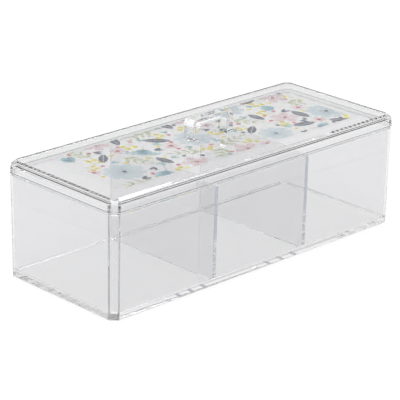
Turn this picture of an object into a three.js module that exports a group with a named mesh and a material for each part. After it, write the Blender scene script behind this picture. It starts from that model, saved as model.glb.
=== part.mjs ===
// A clear moulded makeup box: a long three-compartment tray with a lift-off lid.
// Millimetres, +Z up. The origin is the centre of the underside, X runs along the box.
import * as THREE from "three";

// Tray
const trayLength = 230; // outside, at the rim
const trayWidth = 91.8; // outside, at the rim
const trayHeight = 63.3; // underside to rim
const trayWall = 2.4;
const trayFloor = 3;
const trayDraftDegrees = 0.6; // each side leans in by this towards the base
const cornerCut = 4.8; // what a corner's chamfer takes from each outside face
const insideCornerCut = 3.4; // the same, from each inside face
const cornerBlend = 0.5; // radius along both edges of a chamfer
const leastCornerCut = 0.4; // smallest chamfer the mould has
const baseRound = 1; // outside edge under the base
const rimRound = 0.2; // both edges of the rim
const rebateDepth = 2.1; // step inside the rim that the lid's lip drops into
const rebateWidth = 1.1; // how far the step stands back from the inside face
const floorFillet = 2; // inside, between wall and floor

// Dividers
const middleLength = 74; // from the middle of one divider to the middle of the other
const dividerThickness = 2.6;
const dividerGap = 0.2; // to each long wall and to the fillet along it
const dividerDrop = 0.8; // from the bottom of the lid's lip to the divider's top edge
const dividerEdge = 0.4; // chamfer along the top edge

// Lid
const lidHeight = 6.8; // seat on the rim to top face
const lidOverhang = 0.2; // past the tray, on each side
const lidDraftDegrees = 4; // each side leans in by this towards the top
const lidPlate = 2.3; // thickness of the top
const lidCornerCut = 5.2; // what a corner's chamfer takes from each outside face
const bevelWidth = 3.4; // slope round the top face, seen from above
const bevelHeight = 2.9;
const seatRound = 0.2; // outside edge of the seat
const lipClearance = 0.2; // between the lip and the rebate, at its side and foot
const lipThickness = 2.2;
const lipChamfer = 0.3; // lead-in on the lip's outer edge
const plateFillet = 0.7; // inside, between the top and the lip's inner face

// Handle
const handleLength = 32.5;
const handleWidth = 8;
const handleHeight = 14;
const legLength = 5.2; // each foot of the arch, along X
const barHeight = 4.4; // the arch's top bar
const archRound = 3.2; // outside corners of the arch
const archInsideRound = 2; // inside corners of the arch
const handleEdge = 0.5; // rounding along the arch's faces

// Printed film
const filmEndMargin = 17; // from each end of the box
const filmSideMargin = 12.5; // from each long side
const filmThickness = 0.25;
const filmCorner = 1; // chamfer at each corner

// Facets
const cornerSteps = 3;
const filletSteps = 5;
const archSteps = 8;

// Places that follow from the sizes
const lidTop = trayHeight + lidHeight;
const plateUnderside = lidTop - lidPlate;
const rebateInset = trayWall - rebateWidth;
const lipBottom = trayHeight - rebateDepth + lipClearance;
const lipInset = lidOverhang + rebateInset + lipClearance;
const lipInsideInset = lipInset + lipThickness;
const dividerTop = lipBottom - dividerDrop;

// A wall stays as thick at a chamfered corner as along its sides when the cut shrinks,
// going inwards, by this share of the inset.
const cutShrinkShare = 2 - Math.SQRT2;

// The largest blend that fits on a chamfer, as a share of its cut.
const largestBlendShare = 1 / cutShrinkShare;

// Gives each point of a section its corner cut, from the cut at one inset.
const withCuts = (points, cut, atInset) =>
  points.map(([inset, z]) => [
    inset,
    z,
    Math.max(cut - (inset - atInset) * cutShrinkShare, leastCornerCut),
  ]);

const leanShare = (degrees) => Math.tan(THREE.MathUtils.degToRad(degrees));
const trayLeanShare = leanShare(trayDraftDegrees);
const lidLeanShare = leanShare(lidDraftDegrees);

// How far the tray's outside face stands in from its rim at height z.
const trayInset = (z) => (trayHeight - z) * trayLeanShare;

const clearPlastic = (name) =>
  new THREE.MeshStandardMaterial({
    name,
    color: 0xe8ecef,
    roughness: 0.05,
    metalness: 0,
    transparent: true,
    opacity: 0.35,
  });

// Points of an arc in a wall's section, as [inset, z].
function sectionArc(inset, z, radius, fromDegrees, toDegrees) {
  return Array.from({ length: filletSteps + 1 }, (_, i) => {
    const angle = THREE.MathUtils.degToRad(
      THREE.MathUtils.lerp(fromDegrees, toDegrees, i / filletSteps),
    );
    return [inset + radius * Math.cos(angle), z + radius * Math.sin(angle)];
  });
}

// One level of a shell at height z: a rectangle whose corners are chamfered, with both
// edges of each chamfer rounded, anticlockwise from above.
function chamferedRing(halfLength, halfWidth, cut, z) {
  const blend = Math.min(cornerBlend, cut * largestBlendShare);
  const tangent = blend * Math.tan(Math.PI / 8);
  const corners = [
    [1, 1],
    [-1, 1],
    [-1, -1],
    [1, -1],
  ];
  return corners.flatMap(([sideX, sideY], quarter) => {
    const turn = (quarter * Math.PI) / 2;
    const sharp = new THREE.Vector2(sideX * halfLength, sideY * halfWidth);
    const along = new THREE.Vector2(Math.cos(turn), Math.sin(turn));
    const across = new THREE.Vector2(-along.y, along.x);
    const arc = (centre, from) =>
      Array.from({ length: cornerSteps + 1 }, (_, i) => {
        const angle = turn + from + (i / cornerSteps) * (Math.PI / 4);
        return new THREE.Vector3(
          centre.x + blend * Math.cos(angle),
          centre.y + blend * Math.sin(angle),
          z,
        );
      });
    const first = sharp
      .clone()
      .addScaledVector(along, -blend)
      .addScaledVector(across, -cut - tangent);
    const second = sharp
      .clone()
      .addScaledVector(along, -cut - tangent)
      .addScaledVector(across, -blend);
    return [...arc(first, 0), ...arc(second, Math.PI / 4)];
  });
}

// Sweeps a wall's section, from the face that looks down to the face that looks up,
// round a chamfered rectangle, and closes both ends with flat faces.
function sweptShell(section, halfLength, halfWidth) {
  const rings = section.map(([inset, z, cut]) =>
    chamferedRing(halfLength - inset, halfWidth - inset, cut, z),
  );
  const around = rings[0].length;
  const points = rings.flat();
  const faces = [];
  for (let level = 0; level + 1 < rings.length; level += 1) {
    for (let i = 0; i < around; i += 1) {
      const a = level * around + i;
      const b = level * around + ((i + 1) % around);
      faces.push(a, b, b + around, a, b + around, a + around);
    }
  }
  const low = points.length;
  const high = low + 1;
  const lastRing = (rings.length - 1) * around;
  points.push(new THREE.Vector3(0, 0, section[0][1]));
  points.push(new THREE.Vector3(0, 0, section[section.length - 1][1]));
  for (let i = 0; i < around; i += 1) {
    const next = (i + 1) % around;
    faces.push(low, next, i, high, lastRing + i, lastRing + next);
  }
  const geometry = new THREE.BufferGeometry().setFromPoints(points);
  geometry.setIndex(faces);
  geometry.computeVertexNormals();
  return geometry;
}

// The tray: base, leaning walls, a rim with a step inside it and a filleted floor.
function makeTray() {
  const base = trayInset(0);
  const insideAtFloor = trayWall + trayInset(trayFloor + floorFillet);
  const round = Math.min(rimRound, rebateInset / 3);
  const step = trayHeight - rebateDepth;
  const section = [
    ...withCuts(
      [
        ...sectionArc(base + baseRound, baseRound, baseRound, -90, -180),
        ...sectionArc(round, trayHeight - round, round, 180, 90),
      ],
      cornerCut,
      0,
    ),
    ...withCuts(
      [
        ...sectionArc(rebateInset - round, trayHeight - round, round, 90, 0),
        [rebateInset, step],
        [trayWall + trayInset(step), step],
        ...sectionArc(
          insideAtFloor + floorFillet,
          trayFloor + floorFillet,
          floorFillet,
          180,
          270,
        ),
      ],
      insideCornerCut,
      trayWall,
    ),
  ];
  const geometry = sweptShell(section, trayLength / 2, trayWidth / 2);
  const tray = new THREE.Mesh(geometry, clearPlastic("tray_plastic"));
  tray.name = "tray";
  return tray;
}

// A plate across the tray: it stands on the floor, follows the walls' lean
// and clears the fillets along the floor.
function makeDivider(name, side) {
  const halfAt = (z) => trayWidth / 2 - trayWall - dividerGap - trayInset(z);
  const foot = floorFillet + dividerGap;
  const halfFoot = halfAt(trayFloor + foot) - foot;
  const outline = new THREE.Shape();
  outline.moveTo(-halfFoot, trayFloor);
  outline.lineTo(halfFoot, trayFloor);
  outline.absarc(halfFoot, trayFloor + foot, foot, -Math.PI / 2, 0, false);
  outline.lineTo(halfAt(dividerTop - dividerEdge), dividerTop - dividerEdge);
  outline.lineTo(halfAt(dividerTop) - dividerEdge, dividerTop);
  outline.lineTo(dividerEdge - halfAt(dividerTop), dividerTop);
  outline.lineTo(-halfAt(dividerTop - dividerEdge), dividerTop - dividerEdge);
  outline.absarc(
    -halfFoot,
    trayFloor + foot,
    foot,
    Math.PI,
    (3 * Math.PI) / 2,
    false,
  );
  const geometry = new THREE.ExtrudeGeometry(outline, {
    depth: dividerThickness,
    bevelEnabled: false,
    curveSegments: filletSteps,
  });
  geometry.translate(0, 0, -dividerThickness / 2);
  const divider = new THREE.Mesh(geometry, clearPlastic("divider_plastic"));
  divider.name = name;
  divider.rotation.set(Math.PI / 2, 0, Math.PI / 2, "ZYX");
  divider.position.x = (side * middleLength) / 2;
  return divider;
}

// The lid: a flat top bevelled all round, a solid edge that sits on the tray's rim, and a
// lip that drops into the step inside the rim and locates it.
function makeLid() {
  const outsideAt = (z) => (z - trayHeight) * lidLeanShare;
  const fillet = Math.min(plateFillet, lidPlate);
  const bevelFoot = lidTop - bevelHeight;
  const section = [
    ...withCuts(
      [
        ...sectionArc(
          lipInsideInset + fillet,
          plateUnderside - fillet,
          fillet,
          90,
          180,
        ),
        [lipInsideInset, lipBottom],
        [lipInset + lipChamfer, lipBottom],
        [lipInset, lipBottom + lipChamfer],
        [lipInset, trayHeight],
      ],
      insideCornerCut,
      trayWall + lidOverhang,
    ),
    ...withCuts(
      [
        ...sectionArc(seatRound, trayHeight + seatRound, seatRound, -90, -180),
        [outsideAt(bevelFoot), bevelFoot],
        [outsideAt(bevelFoot) + bevelWidth, lidTop],
      ],
      lidCornerCut,
      0,
    ),
  ];
  const geometry = sweptShell(
    section,
    trayLength / 2 + lidOverhang,
    trayWidth / 2 + lidOverhang,
  );
  const lid = new THREE.Mesh(geometry, clearPlastic("lid_plastic"));
  lid.name = "lid";
  return lid;
}

// The handle: an arch on two feet, bonded to the middle of the lid's top.
function makeHandle() {
  const half = handleLength / 2;
  const inside = half - legLength;
  const soffit = handleHeight - barHeight;
  const outline = new THREE.Shape();
  outline.moveTo(half, 0);
  outline.lineTo(half, handleHeight - archRound);
  outline.absarc(
    half - archRound,
    handleHeight - archRound,
    archRound,
    0,
    Math.PI / 2,
    false,
  );
  outline.absarc(
    archRound - half,
    handleHeight - archRound,
    archRound,
    Math.PI / 2,
    Math.PI,
    false,
  );
  outline.lineTo(-half, 0);
  outline.lineTo(-inside, 0);
  outline.absarc(
    archInsideRound - inside,
    soffit - archInsideRound,
    archInsideRound,
    Math.PI,
    Math.PI / 2,
    true,
  );
  outline.absarc(
    inside - archInsideRound,
    soffit - archInsideRound,
    archInsideRound,
    Math.PI / 2,
    0,
    true,
  );
  outline.lineTo(inside, 0);
  const geometry = new THREE.ExtrudeGeometry(outline, {
    depth: handleWidth - 2 * handleEdge,
    bevelThickness: handleEdge,
    bevelSize: handleEdge,
    bevelOffset: -handleEdge,
    bevelSegments: 3,
    curveSegments: archSteps,
  });
  geometry.translate(0, 0, handleEdge - handleWidth / 2);
  const handle = new THREE.Mesh(geometry, clearPlastic("handle_plastic"));
  handle.name = "lid_handle";
  handle.rotation.x = Math.PI / 2;
  handle.position.z = lidTop;
  return handle;
}

// The printed film: a thin sheet face to face with the underside of the lid's top.
function makePrint() {
  const sheet = [
    [0, plateUnderside - filmThickness, filmCorner],
    [0, plateUnderside, filmCorner],
  ];
  const geometry = sweptShell(
    sheet,
    trayLength / 2 - filmEndMargin,
    trayWidth / 2 - filmSideMargin,
  );
  const material = new THREE.MeshStandardMaterial({
    name: "printed_film",
    color: 0xdfe8ea,
    roughness: 0.35,
    metalness: 0,
  });
  const print = new THREE.Mesh(geometry, material);
  print.name = "lid_print";
  return print;
}

const lidGroup = new THREE.Group();
lidGroup.add(makeLid(), makeHandle(), makePrint());

const box = new THREE.Group();
box.add(
  makeTray(),
  makeDivider("divider_left", -1),
  makeDivider("divider_right", 1),
  lidGroup,
);

export default box;
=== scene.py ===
"""Dresses the clear makeup box: its moulded plastic, its printed film and the studio.

Everything is in metres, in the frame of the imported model: X runs along the box, -Y is its front
and +Z is up, with the origin at the centre of the underside.
"""

import logging
import math
import random
from abc import ABC, abstractmethod
from dataclasses import dataclass, field, replace
from enum import Enum, IntEnum
from typing import Any, Union

import bmesh
import bpy
from mathutils import Matrix, Vector


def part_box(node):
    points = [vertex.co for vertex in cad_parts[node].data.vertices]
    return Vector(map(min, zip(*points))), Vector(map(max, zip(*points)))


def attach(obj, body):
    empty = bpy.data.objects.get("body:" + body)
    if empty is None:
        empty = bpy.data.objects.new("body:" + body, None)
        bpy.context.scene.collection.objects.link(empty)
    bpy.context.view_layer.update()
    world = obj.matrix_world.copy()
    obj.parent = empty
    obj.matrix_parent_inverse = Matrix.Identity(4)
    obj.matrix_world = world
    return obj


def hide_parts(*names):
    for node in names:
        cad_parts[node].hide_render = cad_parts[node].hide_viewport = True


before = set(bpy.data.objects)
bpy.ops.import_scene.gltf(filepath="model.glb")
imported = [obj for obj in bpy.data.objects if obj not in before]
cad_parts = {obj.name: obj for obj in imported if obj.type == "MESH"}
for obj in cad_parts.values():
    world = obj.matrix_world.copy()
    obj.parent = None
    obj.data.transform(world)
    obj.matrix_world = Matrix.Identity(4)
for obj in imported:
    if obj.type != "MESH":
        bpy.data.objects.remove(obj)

MM = 0.001
LOG = logging.getLogger("makeup_box")

Colour = tuple[float, float, float]
Rgba = tuple[float, float, float, float]
Circle = tuple[float, float, float]
Paint = Union[bpy.types.NodeSocket, Rgba]
Operand = Union["Tap", float]


class Tap:
    """A shader socket that takes part in Python arithmetic, one Math node for each operator."""

    def __init__(self, tree: bpy.types.NodeTree, socket: bpy.types.NodeSocket) -> None:
        """Wraps an output socket that carries one number, and the tree that holds it."""
        self.tree = tree
        self.socket = socket

    def _math(self, operation: str, *operands: Operand) -> "Tap":
        """Adds one Math node.

        Args:
            operation: the node's operation.
            operands: its inputs in order, as taps or numbers.

        Returns:
            The node's result.
        """
        node = self.tree.nodes.new("ShaderNodeMath")
        node.operation = operation
        for slot, operand in zip(node.inputs, operands):
            if isinstance(operand, Tap):
                self.tree.links.new(operand.socket, slot)
            else:
                slot.default_value = operand
        return Tap(self.tree, node.outputs[0])

    def __add__(self, other: Operand) -> "Tap":
        """This value plus another."""
        return self._math("ADD", self, other)

    def __radd__(self, other: Operand) -> "Tap":
        """Another value plus this one."""
        return self._math("ADD", other, self)

    def __sub__(self, other: Operand) -> "Tap":
        """This value less another."""
        return self._math("SUBTRACT", self, other)

    def __rsub__(self, other: Operand) -> "Tap":
        """Another value less this one."""
        return self._math("SUBTRACT", other, self)

    def __mul__(self, other: Operand) -> "Tap":
        """This value times another."""
        return self._math("MULTIPLY", self, other)

    def __rmul__(self, other: Operand) -> "Tap":
        """Another value times this one."""
        return self._math("MULTIPLY", other, self)

    def at_least(self, other: Operand) -> "Tap":
        """The larger of this value and another."""
        return self._math("MAXIMUM", self, other)

    def clamped(self) -> "Tap":
        """This value, kept between 0 and 1."""
        return self._math("MINIMUM", self.at_least(0.0), 1.0)


@dataclass(frozen=True)
class Grain:
    """A noise pattern.

    Attributes:
        scale: waves to the metre.
        detail: octaves.
    """

    scale: float
    detail: float


class NodeBuilder:
    """Adds nodes to one tree, each from its type, its settings and its sockets' values."""

    def __init__(self, tree: bpy.types.NodeTree) -> None:
        """Empties the tree to build in."""
        self.tree = tree
        tree.nodes.clear()

    def add(
        self,
        kind: str,
        settings: dict[str, Any] | None = None,
        sockets: dict[str | int, Any] | None = None,
    ) -> bpy.types.Node:
        """Adds one node.

        Args:
            kind: the node's type, without the ShaderNode that it starts with.
            settings: the node's own properties, set first.
            sockets: a value, tap or output socket for each input, by name or number.

        Returns:
            The new node.
        """
        node = self.tree.nodes.new("ShaderNode" + kind)
        for name, value in (settings or {}).items():
            setattr(node, name, value)
        for key, value in (sockets or {}).items():
            source = value.socket if isinstance(value, Tap) else value
            if isinstance(source, bpy.types.NodeSocket):
                self.tree.links.new(source, node.inputs[key])
            else:
                node.inputs[key].default_value = source
        return node

    def tap(self, node: bpy.types.Node, output: str | int = 0) -> Tap:
        """One output of a node, ready for arithmetic."""
        return Tap(self.tree, node.outputs[output])

    def noise(self, grain: Grain) -> Tap:
        """Noise over the piece, in Object coordinates.

        Args:
            grain: its pattern.

        Returns:
            The noise, about 0 to 1.
        """
        place = self.add("TexCoord").outputs["Object"]
        sockets = {"Vector": place, "Scale": grain.scale, "Detail": grain.detail}
        return self.tap(self.add("TexNoise", {}, sockets))

    def mix_colour(self, share: Tap, first: Paint, second: Paint) -> bpy.types.NodeSocket:
        """The mix of two colours, where the share is how much of the second it holds."""
        node = self.add("Mix", {"data_type": "RGBA"}, {0: share, 6: first, 7: second})
        return node.outputs[2]

    def seen(self) -> Tap:
        """Finds whether the camera sees a surface, straight or through gloss or clear plastic.

        Returns:
            1 where it does and 0 where it doesn't.
        """
        path = self.add("LightPath")
        straight = self.tap(path, "Is Camera Ray")
        mirrored = self.tap(path, "Is Glossy Ray")
        through = self.tap(path, "Is Transmission Ray")
        return straight.at_least(mirrored).at_least(through)


def linear(*screen: int) -> Colour:
    """A screen colour, each component 0 to 255, as scene-linear light, by the sRGB curve."""
    shares = [value / 255 for value in screen]
    return tuple(s / 12.92 if s <= 0.04045 else ((s + 0.055) / 1.055) ** 2.4 for s in shares)


def opaque(colour: Colour) -> Rgba:
    """A colour with full alpha, as sockets take it."""
    return (*colour, 1.0)


def grey(value: float) -> Rgba:
    """A grey with full alpha, as sockets take it."""
    return (value, value, value, 1.0)


class Finish(ABC):
    """A finish, made of one Principled shader.

    Attributes:
        name: the material's name.
    """

    name: str

    @abstractmethod
    def sockets(self, nodes: NodeBuilder) -> dict[str, Any]:
        """Adds the nodes behind the shader.

        Args:
            nodes: the builder of the material's tree.

        Returns:
            A value, tap or output socket for each socket of the shader that it sets, by name.
        """

    def material(self) -> bpy.types.Material:
        """Builds the material.

        Returns:
            The material.
        """
        made = bpy.data.materials.new(self.name)
        made.use_nodes = True
        nodes = NodeBuilder(made.node_tree)
        shader = nodes.add("BsdfPrincipled", {}, self.sockets(nodes))
        nodes.add("OutputMaterial", {}, {"Surface": shader.outputs[0]})
        return made


@dataclass(frozen=True)
class ClearPlastic(Finish):
    """Clear moulded polystyrene with the faint unevenness that a mould leaves.

    Attributes:
        name: the material's name.
        tint: what a wall lets through where it is dullest.
        index: refractive index.
        haze: the most roughness that fine wear gives it.
        wear: the pattern of the wear.
        ripple: height of the mould's slow waves, in metres.
        waves: the pattern of the waves.
        cloud: the pattern of the clearer places.
        cloud_share: how much of the clearer tint the clearest place has.
        clearing_share: how far from the tint towards white the clearer tint lies.
    """

    name: str
    tint: Colour
    index: float = 1.55
    haze: float = 0.02
    wear: Grain = Grain(900.0, 3.0)
    ripple: float = 0.02 * MM
    waves: Grain = Grain(30.0, 1.0)
    cloud: Grain = Grain(12.0, 2.0)
    cloud_share: float = 0.4
    clearing_share: float = 0.25

    def sockets(self, nodes: NodeBuilder) -> dict[str, Any]:
        """Adds the wear, the waves and the clearer places.

        Args:
            nodes: the builder of the material's tree.

        Returns:
            The shader's sockets for a plastic that light goes through.
        """
        rough = nodes.noise(self.wear) * self.haze
        waves = nodes.noise(self.waves)
        bump = nodes.add("Bump", {}, {"Strength": 1.0, "Distance": self.ripple, "Height": waves})
        cloud = nodes.noise(self.cloud) * self.cloud_share
        clearer = tuple(value + (1.0 - value) * self.clearing_share for value in self.tint)
        return {
            "Base Color": nodes.mix_colour(cloud, opaque(self.tint), opaque(clearer)),
            "Roughness": rough,
            "IOR": self.index,
            "Transmission Weight": 1.0,
            "Normal": bump.outputs[0],
        }


@dataclass(frozen=True)
class Bond(Finish):
    """The joint of two clear pieces, where light passes straight from one to the other.

    Attributes:
        name: the material's name.
    """

    name: str = "bonded_joint"

    def sockets(self, nodes: NodeBuilder) -> dict[str, Any]:
        """The shader's sockets for a surface that light passes as if it weren't there."""
        return {"Base Color": grey(1.0), "Roughness": 0.0, "Alpha": 0.0}


@dataclass(frozen=True)
class ClearFilm(Finish):
    """A thin carrier film, a little milky, which pales what is behind it.

    Attributes:
        name: the material's name.
        tint: the film's own colour.
        cover: how much of it shows, where it is neither clearer nor milkier.
        uneven: how much that changes from the clearest to the milkiest place.
        cloud: the pattern of those places.
    """

    name: str = "carrier_film"
    tint: Colour = (0.93, 0.93, 0.935)
    cover: float = 0.06
    uneven: float = 0.04
    cloud: Grain = Grain(60.0, 2.0)

    def sockets(self, nodes: NodeBuilder) -> dict[str, Any]:
        """Adds the milkier places.

        Args:
            nodes: the builder of the material's tree.

        Returns:
            The shader's sockets for a see-through film whose faces show no gloss.
        """
        cloud = nodes.noise(self.cloud)
        return {
            "Base Color": opaque(self.tint),
            "Roughness": 0.5,
            "IOR": 1.0,
            "Alpha": cloud * self.uneven + (self.cover - self.uneven / 2),
        }


@dataclass(frozen=True)
class PrintInk(Finish):
    """A translucent ink, uneven like a brushed wash.

    Attributes:
        name: the material's name.
        thin: its colour where it lies thin.
        full: its colour where it pools.
        cover: how much of what is behind it takes on its colour, 0 to 0.97.
        clear: share of the light that it lets through instead of giving it back.
        wash: the pattern of the pools.
        contrast: how sharply thin places turn into pools.
        onset: how much of the pattern is taken off, so that thin places are thin.
        thin_share: share of the cover that a thin place has.
        pooled_share: how much more of it a pool has.
    """

    name: str
    thin: Colour
    full: Colour
    cover: float = 0.95
    clear: float = 0.9
    wash: Grain = Grain(260.0, 3.0)
    contrast: float = 2.4
    onset: float = 0.7
    thin_share: float = 0.93
    pooled_share: float = 0.1

    def sockets(self, nodes: NodeBuilder) -> dict[str, Any]:
        """Adds the wash.

        Args:
            nodes: the builder of the material's tree.

        Returns:
            The shader's sockets for a matt ink whose colour and cover follow the wash.
        """
        pooled = (nodes.noise(self.wash) * self.contrast - self.onset).clamped()
        return {
            "Base Color": nodes.mix_colour(pooled, opaque(self.thin), opaque(self.full)),
            "Roughness": 0.75,
            "IOR": 1.05,
            "Transmission Weight": self.clear,
            "Alpha": (pooled * self.pooled_share + self.thin_share) * self.cover,
        }


@dataclass(frozen=True)
class PaleFloor(Finish):
    """The studio's floor, which keeps the box's shadow and shows as white.

    Attributes:
        name: the material's name.
        paper: how much of the light that reaches it the floor gives back.
        mottle_step: how much more the palest place gives back.
        mottle: the pattern of the pale places.
        glow: what the floor adds where it is seen.
    """

    name: str = "pale_floor"
    paper: float = 0.13
    mottle_step: float = 0.01
    mottle: Grain = Grain(40.0, 2.0)
    glow: float = 0.89

    def sockets(self, nodes: NodeBuilder) -> dict[str, Any]:
        """Adds the paper and its glow.

        Args:
            nodes: the builder of the material's tree.

        Returns:
            The shader's sockets for a dull paper that glows where it is seen.
        """
        mottle = nodes.noise(self.mottle)
        palest = grey(self.paper + self.mottle_step)
        return {
            "Base Color": nodes.mix_colour(mottle, grey(self.paper), palest),
            "Roughness": 0.9,
            "Specular IOR Level": 0.0,
            "Emission Color": nodes.mix_colour(nodes.seen(), grey(0.0), grey(self.glow)),
            "Emission Strength": 1.0,
        }


class Ink(Enum):
    """The inks of the print, each with its own finish."""

    SAGE = PrintInk("ink_sage", linear(232, 238, 208), linear(212, 219, 176))
    SKY = PrintInk("ink_sky", linear(245, 252, 254), linear(224, 241, 247))
    BLUSH = PrintInk("ink_blush", linear(255, 242, 243), linear(251, 222, 226))
    TEAL = PrintInk("ink_teal", linear(208, 234, 240), linear(178, 217, 227))
    MINT = PrintInk("ink_mint", linear(194, 224, 214), linear(166, 208, 198))
    NAVY = PrintInk("ink_navy", linear(92, 114, 146), linear(34, 56, 98), clear=0.5)
    CRIMSON = PrintInk("ink_crimson", linear(190, 50, 92), linear(156, 12, 56))
    ROSE = PrintInk("ink_rose", linear(246, 118, 156), linear(232, 78, 124))
    YELLOW = PrintInk("ink_yellow", linear(255, 246, 44), linear(252, 228, 8), cover=0.97, clear=1.0)


@dataclass
class InkSheet:
    """All the shapes printed in one ink, as one thin mesh. Its shares are of the pen's size.

    Attributes:
        ink: the ink.
        top: height of the ink's upper face, in metres.
        thickness: the ink's own thickness, in metres.
        step: how much lower each shape lies than the one before, in metres.
        layers: how many shapes go by before the heights repeat.
        waist_share: a petal's width halfway along, as a share of its round end's.
        mesh: the shapes so far.
        placed: how many shapes it holds.
    """

    ink: Ink
    top: float
    thickness: float
    step: float = 0.00007 * MM
    layers: int = 40
    waist_share: float = 0.62
    mesh: bmesh.types.BMesh = field(default_factory=bmesh.new)
    placed: int = 0

    def _place(self, verts: list[bmesh.types.BMVert], where: Matrix) -> None:
        """Moves a new shape to its place on the print, and to a height of its own.

        Args:
            verts: the shape's corners.
            where: its place.
        """
        lowered = Matrix.Translation((0.0, 0.0, -self.step * (self.placed % self.layers)))
        bmesh.ops.transform(self.mesh, matrix=lowered @ where, verts=verts)
        self.placed += 1

    def _stretch(
        self, verts: list[bmesh.types.BMVert], pen: "Pen", length_share: float, width_share: float
    ) -> None:
        """Places a shape of unit radius so that it runs along X from the pen.

        Args:
            verts: the shape's corners.
            pen: where it starts.
            length_share: its length.
            width_share: its width; below zero it is mirrored.
        """
        length, width = pen.size * length_share, pen.size * width_share
        scaled = Matrix.Diagonal((length / 2, width / 2, 1.0, 1.0))
        self._place(verts, pen.moved(length_share / 2).where @ scaled)

    def _disc(self, sides: int) -> list[bmesh.types.BMVert]:
        """Adds a flat disc of unit radius at the origin, and returns its corners."""
        made = bmesh.ops.create_circle(self.mesh, cap_ends=True, segments=sides, radius=1.0)
        return made["verts"]

    def oval(self, pen: "Pen", length_share: float, width_share: float) -> None:
        """Adds an oval round the pen, from shares for half its length and half its width."""
        scaled = Matrix.Diagonal((pen.size * length_share, pen.size * width_share, 1.0, 1.0))
        self._place(self._disc(sides=20), pen.where @ scaled)

    def leaf(
        self, pen: "Pen", length_share: float, width_share: float, point: float = 0.6, halved: bool = False
    ) -> None:
        """Adds a leaf with a pointed tip.

        Args:
            pen: at its base.
            length_share: base to tip.
            width_share: its greatest width; below zero it is mirrored.
            point: how sharply both ends draw in, 0 for an oval.
            halved: draws only the half on one side of the rib.
        """
        verts = self._disc(sides=24)
        for vert in verts:
            across = max(vert.co.y, 0.0) if halved else vert.co.y
            vert.co.y = across * (1.0 - vert.co.x**2) ** (point / 2)
        self._stretch(verts, pen, length_share, width_share)

    def petal(self, pen: "Pen", length_share: float, width_share: float) -> None:
        """Adds a petal: narrow at the pen, broad and round at its end.

        Args:
            pen: at its narrow end.
            length_share: end to end.
            width_share: the width of the oval that it narrows from.
        """
        verts = self._disc(sides=24)
        for vert in verts:
            vert.co.y *= self.waist_share + (1.0 - self.waist_share) * vert.co.x
        self._stretch(verts, pen, length_share, width_share)

    def stem(
        self, pen: "Pen", length_share: float, width_share: float, bend_share: float = 0.0
    ) -> None:
        """Adds a stem.

        Args:
            pen: where it starts.
            length_share: start to end.
            width_share: its width at the start; the end is half of it.
            bend_share: how far its end stands off to the side.
        """
        shares = (length_share, width_share, bend_share)
        length, width, bend = (pen.size * share for share in shares)
        made = bmesh.ops.create_grid(self.mesh, x_segments=12, y_segments=1, size=1.0)
        for vert in made["verts"]:
            along = (vert.co.x + 1.0) / 2
            vert.co.x = along * length
            vert.co.y = vert.co.y * width * (1.0 - along / 2) / 2 + bend * along**2
        self._place(made["verts"], pen.where)

    def trimmed(self, half_length: float, half_width: float) -> None:
        """Cuts off what runs past the printed rectangle.

        Args:
            half_length: half of it along X, in metres.
            half_width: half of it along Y, in metres.
        """
        for axis, reach in ((Vector((1, 0, 0)), half_length), (Vector((0, 1, 0)), half_width)):
            for side in (axis, -axis):
                bmesh.ops.bisect_plane(
                    self.mesh,
                    geom=self.mesh.verts[:] + self.mesh.edges[:] + self.mesh.faces[:],
                    plane_co=side * reach,
                    plane_no=side,
                    clear_outer=True,
                )

    def finished(self) -> bpy.types.Object:
        """Gives the shapes their thickness and makes them an object.

        Returns:
            The object, named for its ink, in its place in the frame.
        """
        thick = bmesh.ops.extrude_face_region(self.mesh, geom=self.mesh.faces[:])
        raised = [v for v in thick["geom"] if isinstance(v, bmesh.types.BMVert)]
        bmesh.ops.translate(self.mesh, verts=raised, vec=(0.0, 0.0, self.thickness))
        base = self.top - self.thickness
        bmesh.ops.translate(self.mesh, verts=self.mesh.verts, vec=(0.0, 0.0, base))
        bmesh.ops.recalc_face_normals(self.mesh, faces=self.mesh.faces[:])
        name = "print_" + self.ink.name.lower()
        data = bpy.data.meshes.new(name)
        self.mesh.to_mesh(data)
        self.mesh.free()
        piece = bpy.data.objects.new(name, data)
        bpy.context.scene.collection.objects.link(piece)
        data.materials.append(self.ink.value.material())
        return piece


@dataclass(frozen=True)
class Pen:
    """What draws one motif, from a place on the print and in shares of the motif's size.

    Attributes:
        sheets: one sheet for each ink.
        where: its place.
        size: the motif's size along its own X, in metres.
        dice: picks what is left to chance.
    """

    sheets: dict[Ink, InkSheet]
    where: Matrix
    size: float
    dice: random.Random

    def moved(self, along_share: float, across_share: float = 0.0) -> "Pen":
        """A pen moved from this one along its X and Y."""
        shift = Matrix.Translation((self.size * along_share, self.size * across_share, 0.0))
        return replace(self, where=self.where @ shift)

    def turned(self, angle: float) -> "Pen":
        """A pen turned from this one round its Z, in radians."""
        return replace(self, where=self.where @ Matrix.Rotation(angle, 4, "Z"))

    def around(self, count: int) -> list["Pen"]:
        """So many pens, turned from this one in even steps all the way round."""
        return [self.turned(2 * math.pi * i / count) for i in range(count)]


class Drawing(ABC):
    """How one kind of motif is printed. Its shares are of the motif's size, or as they say."""

    @abstractmethod
    def draw(self, pen: Pen) -> None:
        """Prints one motif.

        Args:
            pen: in its middle.
        """


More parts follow.
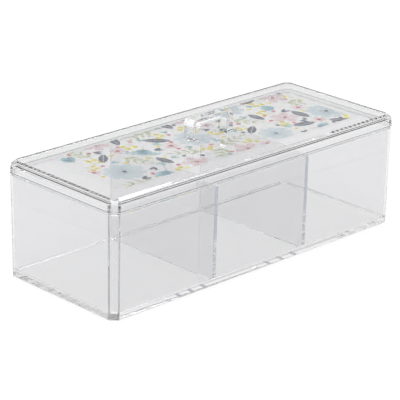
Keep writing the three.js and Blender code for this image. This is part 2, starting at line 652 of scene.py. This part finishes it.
@dataclass(frozen=True)
class Flower(Drawing):
    """A round flower of even petals.

    Attributes:
        ink: the petals' ink.
        petals: how many petals it has.
        petal_share: a petal's width.
        eyes: the ovals in its middle, the smallest last: ink, half length and half width.
        dots: how many dots stand round its middle, in the smallest eye's ink.
        ring_share: how far they stand off.
        dot_share: a dot's width.
    """

    ink: Ink
    petals: int
    petal_share: float
    eyes: tuple[tuple[Ink, float, float], ...]
    dots: int = 0
    ring_share: float = 0.0
    dot_share: float = 0.0

    def draw(self, pen: Pen) -> None:
        """Prints one flower, whose petals reach from the middle to the edge.

        Args:
            pen: in its middle.
        """
        for petal in pen.around(self.petals):
            pen.sheets[self.ink].petal(petal, 1 / 2, self.petal_share)
        radius_share = self.dot_share / 2
        for dot in pen.around(self.dots):
            dots = pen.sheets[self.eyes[-1][0]]
            dots.oval(dot.moved(self.ring_share), radius_share, radius_share)
        for ink, length_share, width_share in self.eyes:
            pen.sheets[ink].oval(pen, length_share, width_share)


@dataclass(frozen=True)
class Tulip(Drawing):
    """A teal cup with two yellow stamens, on a short stem.

    Attributes:
        base_share: how far behind the middle the cup starts.
        petal_turns: how far each petal leans, in radians.
        petal_shares: a petal's length and width.
        point: how sharply its ends draw in.
        stem_shares: the stem's length, width and bend.
        stamen_turns: how far each stamen leans, in radians.
        reach_share: how far a stamen's head stands off.
        head_share: its radius.
    """

    base_share: float = 0.1
    petal_turns: tuple[float, ...] = (-0.5, 0.5, 0.0)
    petal_shares: tuple[float, float] = (0.6, 0.34)
    point: float = 0.3
    stem_shares: tuple[float, float, float] = (0.5, 0.05, 0.08)
    stamen_turns: tuple[float, ...] = (-0.55, 0.55)
    reach_share: float = 0.62
    head_share: float = 0.04

    def draw(self, pen: Pen) -> None:
        """Prints one tulip.

        Args:
            pen: in its middle.
        """
        base = pen.moved(-self.base_share)
        for turn in self.petal_turns:
            pen.sheets[Ink.TEAL].leaf(base.turned(turn), *self.petal_shares, self.point)
        pen.sheets[Ink.SAGE].stem(pen.turned(math.pi), *self.stem_shares)
        for turn in self.stamen_turns:
            head = base.turned(turn).moved(self.reach_share)
            pen.sheets[Ink.YELLOW].oval(head, self.head_share, self.head_share)


@dataclass(frozen=True)
class Sprig(Drawing):
    """A bent sage stem with paired leaves that shorten to the tip.

    Attributes:
        stem_shares: the stem's length, width and bend.
        pair_shares: where the pairs of leaves stand, as shares of the stem.
        leaf_shares: the leaves' length, pair by pair.
        slim_share: a leaf's width, as a share of its own length.
        lean: how far the leaves stand off the stem, in radians.
        follow: how much the stem's bend turns them by its end, in radians.
        tip_share: where the leaf at the tip starts.
        tip_shares: its length and width.
    """

    stem_shares: tuple[float, float, float] = (0.8, 0.035, 0.12)
    pair_shares: tuple[float, ...] = (0.18, 0.46, 0.74)
    leaf_shares: tuple[float, ...] = (0.32, 0.27, 0.22)
    slim_share: float = 0.34
    lean: float = 0.75
    follow: float = 0.2
    tip_share: float = 0.78
    tip_shares: tuple[float, float] = (0.22, 0.075)

    def draw(self, pen: Pen) -> None:
        """Prints one sprig.

        Args:
            pen: in its middle.
        """
        sage = pen.sheets[Ink.SAGE]
        start = pen.moved(-1 / 2)
        sage.stem(start, *self.stem_shares)
        reach_share, _, bend_share = self.stem_shares
        for along, length_share in zip(self.pair_shares, self.leaf_shares):
            spot = start.moved(reach_share * along, bend_share * along**2)
            for side in (-1.0, 1.0):
                leaf = spot.turned(side * self.lean + self.follow * along)
                sage.leaf(leaf, length_share, length_share * self.slim_share)
        sage.leaf(start.moved(self.tip_share, bend_share), *self.tip_shares)


@dataclass(frozen=True)
class Willow(Drawing):
    """A slim navy leaf with a bare rib.

    Attributes:
        rib_share: half of the rib's width.
        width_share: the leaf's width.
        point: how sharply its ends draw in.
    """

    rib_share: float = 0.012
    width_share: float = 0.38
    point: float = 0.7

    def draw(self, pen: Pen) -> None:
        """Prints one leaf, a half on each side of its rib.

        Args:
            pen: in its middle.
        """
        for side in (-1.0, 1.0):
            half = pen.moved(-1 / 2, side * self.rib_share)
            pen.sheets[Ink.NAVY].leaf(half, 1.0, side * self.width_share, self.point, halved=True)


@dataclass(frozen=True)
class Berries(Drawing):
    """Yellow berries on a forked stem.

    Attributes:
        branches: each branch's lean, in radians, and its length as a share.
        stem_share: a branch's width.
        berry_shares: half of a berry's length and half of its width.
    """

    branches: tuple[tuple[float, float], ...] = ((-0.5, 0.75), (0.0, 0.95), (0.5, 0.7))
    stem_share: float = 0.05
    berry_shares: tuple[float, float] = (0.2, 0.18)

    def draw(self, pen: Pen) -> None:
        """Prints one bunch.

        Args:
            pen: in its middle.
        """
        for turn, length_share in self.branches:
            branch = pen.moved(-1 / 2).turned(turn)
            pen.sheets[Ink.SAGE].stem(branch, length_share, self.stem_share)
            pen.sheets[Ink.YELLOW].oval(branch.moved(length_share), *self.berry_shares)


@dataclass(frozen=True)
class Pair(Drawing):
    """Two small leaves side by side.

    Attributes:
        inks: the inks that it may have.
        turns: how far each leaf leans, in radians.
        width_share: a leaf's width.
    """

    inks: tuple[Ink, ...] = (Ink.MINT, Ink.TEAL, Ink.NAVY, Ink.MINT)
    turns: tuple[float, ...] = (-0.35, 0.35)
    width_share: float = 0.36

    def draw(self, pen: Pen) -> None:
        """Prints one pair.

        Args:
            pen: in its middle.
        """
        sheet = pen.sheets[pen.dice.choice(self.inks)]
        for turn in self.turns:
            sheet.leaf(pen.moved(-1 / 2).turned(turn), 1.0, self.width_share)


@dataclass(frozen=True)
class Dot(Drawing):
    """A single dot, a little oval.

    Attributes:
        inks: the inks that it may have.
        width_share: half of its width.
    """

    inks: tuple[Ink, ...] = (Ink.ROSE, Ink.YELLOW, Ink.NAVY, Ink.ROSE, Ink.YELLOW)
    width_share: float = 0.4

    def draw(self, pen: Pen) -> None:
        """Prints one dot, as long as the motif's size."""
        pen.sheets[pen.dice.choice(self.inks)].oval(pen, 1 / 2, self.width_share)


DAISY = Flower(Ink.SKY, 9, 0.34, ((Ink.NAVY, 0.07, 0.055),), 10, 0.13, 0.025)
BLOSSOM = Flower(Ink.BLUSH, 5, 0.46, ((Ink.CRIMSON, 0.07, 0.06),), 7, 0.12, 0.03)
PANSY = Flower(Ink.BLUSH, 6, 0.36, ((Ink.ROSE, 0.14, 0.14), (Ink.CRIMSON, 0.05, 0.05)))


class Motif(Enum):
    """The motifs of the print, in the order in which they find their places."""

    DAISY = (5, 25 * MM, 1.0, DAISY)
    BLOSSOM = (6, 18 * MM, 1.0, BLOSSOM)
    TULIP = (6, 17 * MM, 0.62, Tulip())
    SPRIG = (10, 25 * MM, 0.36, Sprig())
    WILLOW = (12, 15 * MM, 0.34, Willow())
    PANSY = (8, 10 * MM, 1.0, PANSY)
    BERRIES = (15, 9 * MM, 0.55, Berries())
    PAIR = (26, 6 * MM, 0.55, Pair())
    DOT = (44, 3 * MM, 1.0, Dot())

    def __init__(self, count: int, size: float, width_share: float, drawing: Drawing) -> None:
        """Names what a motif's value holds.

        Args:
            count: how many of them the print holds at most.
            size: its size along its own X, in metres.
            width_share: the width that it keeps free, as a share of its size.
            drawing: how it is printed.
        """
        self.count = count
        self.size = size
        self.width_share = width_share
        self.drawing = drawing


@dataclass
class FloralPrint:
    """The print under the lid: scattered flowers, leaves and berries.

    Attributes:
        half_length: half of the printed rectangle along X, in metres.
        half_width: half of it along Y, in metres.
        top: height of the inks' upper face, in metres.
        seed: of the scatter.
        layer: thickness of one ink's layer, in metres.
        tries: how many places each motif tries.
        spacing: share of the motifs' own radii that is kept between them.
        spread: share of an even grid's step that motifs of one kind keep apart.
        gap_share: how much the room round a motif counts, beside how far its own kind is.
        foot_share: where the outer circles of a long motif stand, as a share of its half.
        growth: the least and the most that a motif's size is multiplied by.
        sheets: one sheet for each ink.
    """

    half_length: float
    half_width: float
    top: float
    seed: int = 11
    layer: float = 0.004 * MM
    tries: int = 220
    spacing: float = 0.96
    spread: float = 0.85
    gap_share: float = 0.5
    foot_share: float = 0.66
    growth: tuple[float, float] = (0.88, 1.1)
    sheets: dict[Ink, InkSheet] = field(init=False)

    def __post_init__(self) -> None:
        """Stacks the inks, so that the fine ones show from both faces."""
        self.sheets = {
            ink: InkSheet(ink, self.top - self.layer * (len(Ink) - i), self.layer * (2 * i + 1))
            for i, ink in enumerate(Ink)
        }

    def _footprint(self, motif: Motif, x: float, y: float, turn: float) -> list[Circle]:
        """The circles that stand for a motif while it looks for its place.

        Args:
            motif: the motif.
            x: its middle along X, in metres.
            y: its middle along Y, in metres.
            turn: how far it is turned, in radians.

        Returns:
            The circles' middles and radii, in metres: one for a round motif, three for a long one.
        """
        half = motif.size / 2
        outer = 0.0 if motif.width_share == 1.0 else self.foot_share
        return [
            (
                x + offset * half * math.cos(turn),
                y + offset * half * math.sin(turn),
                motif.width_share * half,
            )
            for offset in sorted({-outer, 0.0, outer})
        ]

    def _best_place(
        self,
        motif: Motif,
        taken: list[Circle],
        kin: list[tuple[float, float]],
        dice: random.Random,
    ) -> tuple[float, float, float] | None:
        """Tries places for one motif and picks the one that stands most apart.

        Args:
            motif: the motif.
            taken: the circles of what is placed already.
            kin: the middles of the motifs of its own kind.
            dice: draws the places.

        Returns:
            Its X and Y, in metres, and its turn, in radians, or None where there was no room.
        """
        area = 4 * self.half_length * self.half_width
        enough = self.spread * math.sqrt(area / motif.count)
        best, most = None, -math.inf
        for _ in range(self.tries):
            x = dice.uniform(-1, 1) * self.half_length
            y = dice.uniform(-1, 1) * self.half_width
            turn = dice.uniform(-math.pi, math.pi)
            gap = min(
                (
                    math.hypot(a - c, b - d) - self.spacing * (r + s)
                    for a, b, r in self._footprint(motif, x, y, turn)
                    for c, d, s in taken
                ),
                default=math.inf,
            )
            apart = min((math.hypot(x - c, y - d) for c, d in kin), default=math.inf)
            worth = min(apart, enough) + min(gap, enough) * self.gap_share
            if gap > 0 and worth > most:
                best, most = (x, y, turn), worth
        return best

    def scatter(self) -> list[tuple[Motif, Matrix]]:
        """Finds a place for each motif, the large ones first.

        Returns:
            The motifs with their places.
        """
        dice = random.Random(self.seed)
        taken: list[Circle] = []
        found: list[tuple[Motif, Matrix]] = []
        for motif in Motif:
            kin: list[tuple[float, float]] = []
            for _ in range(motif.count):
                best = self._best_place(motif, taken, kin, dice)
                if best:
                    x, y, turn = best
                    taken.extend(self._footprint(motif, x, y, turn))
                    kin.append((x, y))
                    where = Matrix.Translation((x, y, 0.0)) @ Matrix.Rotation(turn, 4, "Z")
                    found.append((motif, where))
        return found

    def build(self) -> list[bpy.types.Object]:
        """Prints every motif.

        Returns:
            One object for each ink.
        """
        dice = random.Random(self.seed + 1)
        for motif, where in self.scatter():
            grown = motif.size * dice.uniform(*self.growth)
            motif.drawing.draw(Pen(self.sheets, where, grown, dice))
        pieces = []
        for sheet in self.sheets.values():
            sheet.trimmed(self.half_length, self.half_width)
            pieces.append(sheet.finished())
        return pieces


class FaceFinish(IntEnum):
    """The finishes of a skin's faces, in the order of its materials."""

    BODY = 0
    BOND = 1
    OTHER = 2


@dataclass
class Skin:
    """A CAD node's surface, joined up and shaded smooth between its sharp edges.

    Attributes:
        node: the node that it stands for.
        body: the body that it moves with.
        crease: edges that turn by more than this stay sharp, in radians.
        weld: corners closer than this are one, in metres.
        level: faces closer in height than this are level, in metres.
        facing_share: how much of a face's normal lies along an axis that it faces.
        mesh: the surface.
    """

    node: str
    body: str
    crease: float = math.radians(28.0)
    weld: float = 0.001 * MM
    level: float = 0.01 * MM
    facing_share: float = 0.99
    mesh: bmesh.types.BMesh = field(default_factory=bmesh.new)

    def __post_init__(self) -> None:
        """Joins the node's triangles into one closed surface."""
        self.mesh.from_mesh(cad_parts[self.node].data)
        bmesh.ops.remove_doubles(self.mesh, verts=self.mesh.verts, dist=self.weld)

    def level_faces(self, height: float, facing: float) -> list[bmesh.types.BMFace]:
        """Finds the flat faces at one height.

        Args:
            height: their height, in metres.
            facing: 1 for faces that look up and -1 for faces that look down.

        Returns:
            The faces.
        """
        return [
            face
            for face in self.mesh.faces
            if face.normal.z * facing > self.facing_share
            and abs(face.calc_center_median().z - height) < self.level
        ]

    def end_faces(self) -> list[bmesh.types.BMFace]:
        """The flat faces that look to the front or to the back."""
        return [f for f in self.mesh.faces if abs(f.normal.y) > self.facing_share]

    def feet(self, seat: float) -> list[tuple[Vector, Vector]]:
        """Marks the flat soles that stand on a seat as bonded, and measures them.

        Args:
            seat: the seat's height, in metres.

        Returns:
            The two corners of each sole's rectangle.
        """
        boxes: list[tuple[Vector, Vector]] = []
        left = self.level_faces(seat, -1.0)
        while left:
            island, fresh = set(), {left[0]}
            while fresh:
                island |= fresh
                near = {f for face in fresh for v in face.verts for f in v.link_faces}
                fresh = (near & set(left)) - island
            left = [face for face in left if face not in island]
            for face in island:
                face.material_index = FaceFinish.BOND
            spots = [vert.co for face in island for vert in face.verts]
            boxes.append(
                tuple(Vector(pick(spot[i] for spot in spots) for i in range(3)) for pick in (min, max))
            )
        return boxes

    def carry(self, feet: list[tuple[Vector, Vector]]) -> None:
        """Marks the flat faces that carry feet as bonded, cut along their outlines.

        Args:
            feet: the two corners of each foot's rectangle, on this skin.
        """
        for low, high in feet:
            for corner in (low, high):
                for axis in (Vector((1.0, 0.0, 0.0)), Vector((0.0, 1.0, 0.0))):
                    flat = self.level_faces(low.z, 1.0)
                    parts = dict.fromkeys(p for f in flat for p in (*f.verts, *f.edges, f))
                    bmesh.ops.bisect_plane(
                        self.mesh, geom=list(parts), plane_co=corner, plane_no=axis
                    )
            for face in self.level_faces(low.z, 1.0):
                middle = face.calc_center_median()
                if low.x < middle.x < high.x and low.y < middle.y < high.y:
                    face.material_index = FaceFinish.BOND

    def finished(self, *materials: bpy.types.Material) -> bpy.types.Object:
        """Makes the surface an object that replaces the node.

        Args:
            materials: its finishes, in the order of FaceFinish.

        Returns:
            The object.
        """
        for part in (*self.mesh.edges, *self.mesh.faces):
            part.smooth = True
        data = bpy.data.meshes.new(self.node + "_skin")
        self.mesh.to_mesh(data)
        self.mesh.free()
        old_normals = data.attributes.get("custom_normal")
        if old_normals:
            data.attributes.remove(old_normals)
        data.set_sharp_from_angle(angle=self.crease)
        for material in materials:
            data.materials.append(material)
        piece = bpy.data.objects.new(self.node + "_skin", data)
        bpy.context.scene.collection.objects.link(piece)
        even = piece.modifiers.new("flat_faces_stay_flat", "WEIGHTED_NORMAL")
        even.mode = "FACE_AREA"
        even.weight = 100
        even.keep_sharp = True
        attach(piece, self.body)
        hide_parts(self.node)
        return piece


@dataclass
class Tray:
    """The open tray and the two plates that divide it.

    Attributes:
        nodes: the tray and what stands on its floor.
        bond: the finish of the faces where the plates are bonded to the floor.
        plastic: the finish of the walls and plates.
        floor_plastic_painted_light: the finish of the floor, a clearer copy of the tray's plastic: painted
            light that lifts the shadow the box casts under itself.
        edge_plastic: the finish of the plates' front and back edges, which are duller.
    """

    nodes: tuple[str, ...] = ("tray", "divider_left", "divider_right")
    bond: Bond = Bond()
    plastic: ClearPlastic = ClearPlastic("tray_plastic", (0.85, 0.85, 0.858))
    # Painted light: a clearer tint than the walls', so the floor shows lighter where the box's shadow
    # falls under it.
    floor_plastic_painted_light: ClearPlastic = ClearPlastic("floor_plastic_painted_light", (0.975, 0.976, 0.98))
    edge_plastic: ClearPlastic = ClearPlastic("edge_plastic", (0.55, 0.57, 0.65))

    def build(self) -> list[bpy.types.Object]:
        """Gives the moulding and the plates their finishes.

        Returns:
            The finished pieces.
        """
        common = (self.plastic.material(), self.bond.material())
        edge = self.edge_plastic.material()
        tray, *plates = (Skin(node, "tray") for node in self.nodes)
        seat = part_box(plates[0].node)[0].z
        # The floor's upper and under faces take the clearer finish, painted light against the shadow under
        # the box.
        for face in tray.level_faces(seat, 1.0) + tray.level_faces(0.0, -1.0):
            face.material_index = FaceFinish.OTHER
        for plate in plates:
            for face in plate.end_faces():
                face.material_index = FaceFinish.OTHER
            tray.carry(plate.feet(seat))
        return [
            tray.finished(*common, self.floor_plastic_painted_light.material()),
            *(plate.finished(*common, edge) for plate in plates),
        ]


@dataclass
class Lid:
    """The lid, its handle and the print under its top.

    Attributes:
        plastic: the lid's finish.
        handle_plastic: the handle's finish.
        bond: the finish of the faces where the handle is bonded to the lid.
        film: the carrier film's finish.
        bare_end: width of the film's unprinted ends, in metres.
        bare_side: width of its unprinted sides, in metres.
        air: how far the film's upper face stays clear of the lid, in metres.
        ink_air: how far the inks stay clear of the lid, in metres.
    """

    plastic: ClearPlastic = ClearPlastic("lid_plastic", (0.915, 0.917, 0.922))
    handle_plastic: ClearPlastic = ClearPlastic("handle_plastic", (0.97, 0.972, 0.976))
    bond: Bond = Bond()
    film: ClearFilm = ClearFilm()
    bare_end: float = 6 * MM
    bare_side: float = 2 * MM
    air: float = 0.09 * MM
    ink_air: float = 0.006 * MM

    def build(self) -> list[bpy.types.Object]:
        """Finishes the lid's nodes and prints the film.

        Returns:
            The finished pieces.
        """
        lid, handle, film = (Skin(node, "lid") for node in ("lid", "lid_handle", "lid_print"))
        lid.carry(handle.feet(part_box("lid_handle")[0].z))
        joint = self.bond.material()
        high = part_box("lid_print")[1]
        top = high.z - self.air
        for vert in film.mesh.verts:
            vert.co.z = min(vert.co.z, top)
        pieces = [
            lid.finished(self.plastic.material(), joint),
            handle.finished(self.handle_plastic.material(), joint),
            film.finished(self.film.material()),
        ]
        design = FloralPrint(high.x - self.bare_end, high.y - self.bare_side, high.z - self.ink_air)
        for piece in design.build():
            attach(piece, "lid")
            pieces.append(piece)
        return pieces


@dataclass(frozen=True)
class SoftBox:
    """A square lamp.

    Attributes:
        name: the lamp's name.
        place: its middle, in metres.
        size: length of its sides, in metres.
        power: in watts.
    """

    name: str
    place: tuple[float, float, float]
    size: float
    power: float

    def build(self, target: Vector) -> bpy.types.Object:
        """Adds the lamp.

        Args:
            target: what it is aimed at, in metres.

        Returns:
            The lamp.
        """
        data = bpy.data.lights.new(self.name, "AREA")
        data.shape = "SQUARE"
        data.size = self.size
        data.energy = self.power
        lamp = bpy.data.objects.new(self.name, data)
        lamp.location = self.place
        aim = target - Vector(self.place)
        lamp.rotation_euler = aim.to_track_quat("-Z", "Y").to_euler()
        bpy.context.scene.collection.objects.link(lamp)
        return lamp


@dataclass
class Studio:
    """The pale floor, the light and the camera.

    Attributes:
        focal: the camera's focal length, in pixels of the picture.
        azimuth: of the camera round the box, in degrees.
        elevation: above the floor, in degrees.
        roll: of the picture, in degrees.
        distance: from the box's origin, in metres.
        offset: of the origin from the picture's middle, right and up, in metres.
        picture: width and height of the picture, in pixels.
        floor_radius: in metres.
        floor_drop: how far the floor lies under the box, in metres.
        paper: the floor's finish.
        backdrop: brightness of the studio's walls where they meet the floor.
        walls: brightness of the walls higher up.
        ceiling: brightness of its ceiling.
        wall_fade: sine of the elevation where backdrop starts to turn into wall, and how fast.
        ceiling_fade: the same, where wall starts to turn into ceiling.
        soft_boxes: the lamps, which mostly give the plastic its highlights.
        aim_height: height of the point that they are aimed at, in metres.
        bounces: how often light is followed through clear plastic and off its faces.
    """

    focal: float = 1959.4
    azimuth: float = -44.574
    elevation: float = 20.807
    roll: float = 1.159
    distance: float = 1.1665
    offset: tuple[float, float] = (0.00366, -0.02788)
    picture: int = 400
    floor_radius: float = 5.0
    floor_drop: float = 0.3 * MM
    paper: PaleFloor = PaleFloor()
    backdrop: float = 1.0
    walls: float = 0.75
    ceiling: float = 1.15
    wall_fade: tuple[float, float] = (0.12, 6.0)
    ceiling_fade: tuple[float, float] = (0.4, 2.5)
    soft_boxes: tuple[SoftBox, ...] = (
        SoftBox("key_box", (-0.9, -0.5, 1.3), 0.5, 4.0),
        SoftBox("rim_box", (0.9, 0.9, 1.1), 0.4, 3.0),
    )
    aim_height: float = 0.05
    bounces: int = 256

    def camera(self) -> bpy.types.Object:
        """Adds the camera at the photograph's angle.

        Returns:
            The camera.
        """
        turn, lift, roll = (math.radians(v) for v in (self.azimuth, self.elevation, self.roll))
        flat = math.cos(lift)
        back = Vector((math.sin(turn) * flat, -math.cos(turn) * flat, math.sin(lift)))
        level = Vector((math.cos(turn), math.sin(turn), 0.0))
        above = back.cross(level)
        right = level * math.cos(roll) + above * math.sin(roll)
        up = above * math.cos(roll) - level * math.sin(roll)
        place = back * self.distance - right * self.offset[0] - up * self.offset[1]
        lens = bpy.data.cameras.new("camera")
        lens.sensor_width = 36.0
        lens.lens = self.focal * lens.sensor_width / self.picture
        lens.clip_end = 50.0
        camera = bpy.data.objects.new("camera", lens)
        camera.matrix_world = Matrix(
            (
                (right.x, up.x, back.x, place.x),
                (right.y, up.y, back.y, place.y),
                (right.z, up.z, back.z, place.z),
                (0.0, 0.0, 0.0, 1.0),
            )
        )
        bpy.context.scene.collection.objects.link(camera)
        bpy.context.scene.camera = camera
        return camera

    def floor(self) -> bpy.types.Object:
        """Adds the pale floor, which keeps the box's shadow.

        Returns:
            The floor.
        """
        mesh = bmesh.new()
        bmesh.ops.create_circle(mesh, cap_ends=True, segments=64, radius=self.floor_radius)
        bmesh.ops.translate(mesh, verts=mesh.verts, vec=(0.0, 0.0, -self.floor_drop))
        data = bpy.data.meshes.new("floor")
        mesh.to_mesh(data)
        mesh.free()
        floor = bpy.data.objects.new("floor", data)
        bpy.context.scene.collection.objects.link(floor)
        data.materials.append(self.paper.material())
        return floor

    def world(self) -> bpy.types.World:
        """Sets the soft light: a white backdrop, duller walls and a bright ceiling.

        Returns:
            The world.
        """
        world = bpy.data.worlds.new("studio")
        bpy.context.scene.world = world
        world.use_nodes = True
        nodes = NodeBuilder(world.node_tree)
        direction = nodes.add("TexCoord").outputs["Generated"]
        height = nodes.tap(nodes.add("SeparateXYZ", {}, {0: direction}), "Z")
        raised, overhead = (
            ((height - start) * rate).clamped() for start, rate in (self.wall_fade, self.ceiling_fade)
        )
        wall = nodes.mix_colour(raised, grey(self.backdrop), grey(self.walls))
        colour = nodes.mix_colour(overhead, wall, grey(self.ceiling))
        background = nodes.add("Background", {}, {"Color": colour, "Strength": 1.0})
        nodes.add("OutputWorld", {}, {"Surface": background.outputs[0]})
        return world

    def build(self) -> None:
        """Sets the whole studio."""
        scene = bpy.context.scene
        scene.view_settings.view_transform = "Standard"
        scene.cycles.max_bounces = self.bounces
        scene.cycles.transmission_bounces = self.bounces
        scene.cycles.glossy_bounces = self.bounces
        scene.cycles.transparent_max_bounces = 32
        self.camera()
        self.floor()
        self.world()
        for soft_box in self.soft_boxes:
            soft_box.build(Vector((0.0, 0.0, self.aim_height)))


def main() -> None:
    """Builds the classes in order and reports each piece."""
    logging.basicConfig(level=logging.INFO, format="%(message)s")
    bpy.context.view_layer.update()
    Studio().build()
    for assembly in (Tray(), Lid()):
        for piece in assembly.build():
            LOG.info("%s: %d faces", piece.name, len(piece.data.polygons))
    bpy.context.view_layer.update()


if __name__ == "__main__":
    main()
